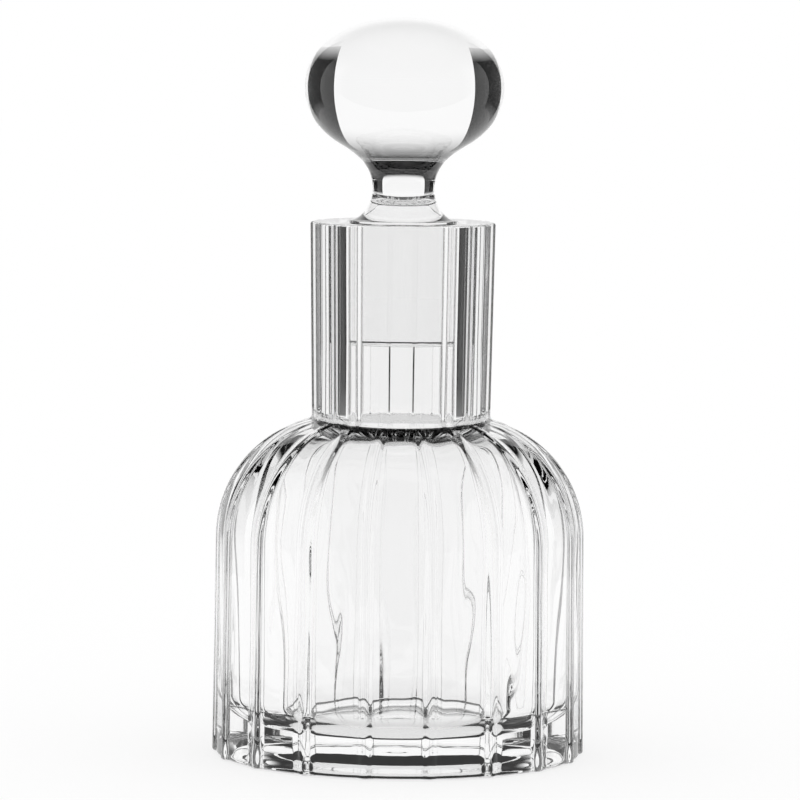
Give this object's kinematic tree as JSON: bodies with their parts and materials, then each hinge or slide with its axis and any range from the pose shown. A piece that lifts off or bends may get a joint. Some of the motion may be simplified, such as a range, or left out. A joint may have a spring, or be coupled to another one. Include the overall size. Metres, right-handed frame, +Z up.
{
  "type": "stoppered decanter",
  "caption": "Heavy clear glass decanter with upright ribs, a domed shoulder, a thick straight neck and a ground ball stopper that lifts out; holds and pours spirits, wine or water.",
  "frame": {"origin": "centre of the foot, on the surface that the foot ring rests on", "axes": "+Z up along the decanter's axis; -Y is the front, the middle of a panel between two ribs"},
  "size_m": [0.121, 0.1192, 0.239],
  "materials": {
    "body_glass": "polished clear glass, ribbed outside",
    "stopper_glass": "polished clear solid glass"
  },
  "bodies": {
    "carafe": {"carafe_body": "body_glass"},
    "stopper": {"stopper": "stopper_glass"}
  },
  "joints": [
    {"name": "stopper_lift", "type": "slide", "parent": "carafe", "child": "stopper", "axis": [0, 0, 1], "range_m": [0, 0.06]}
  ]
}
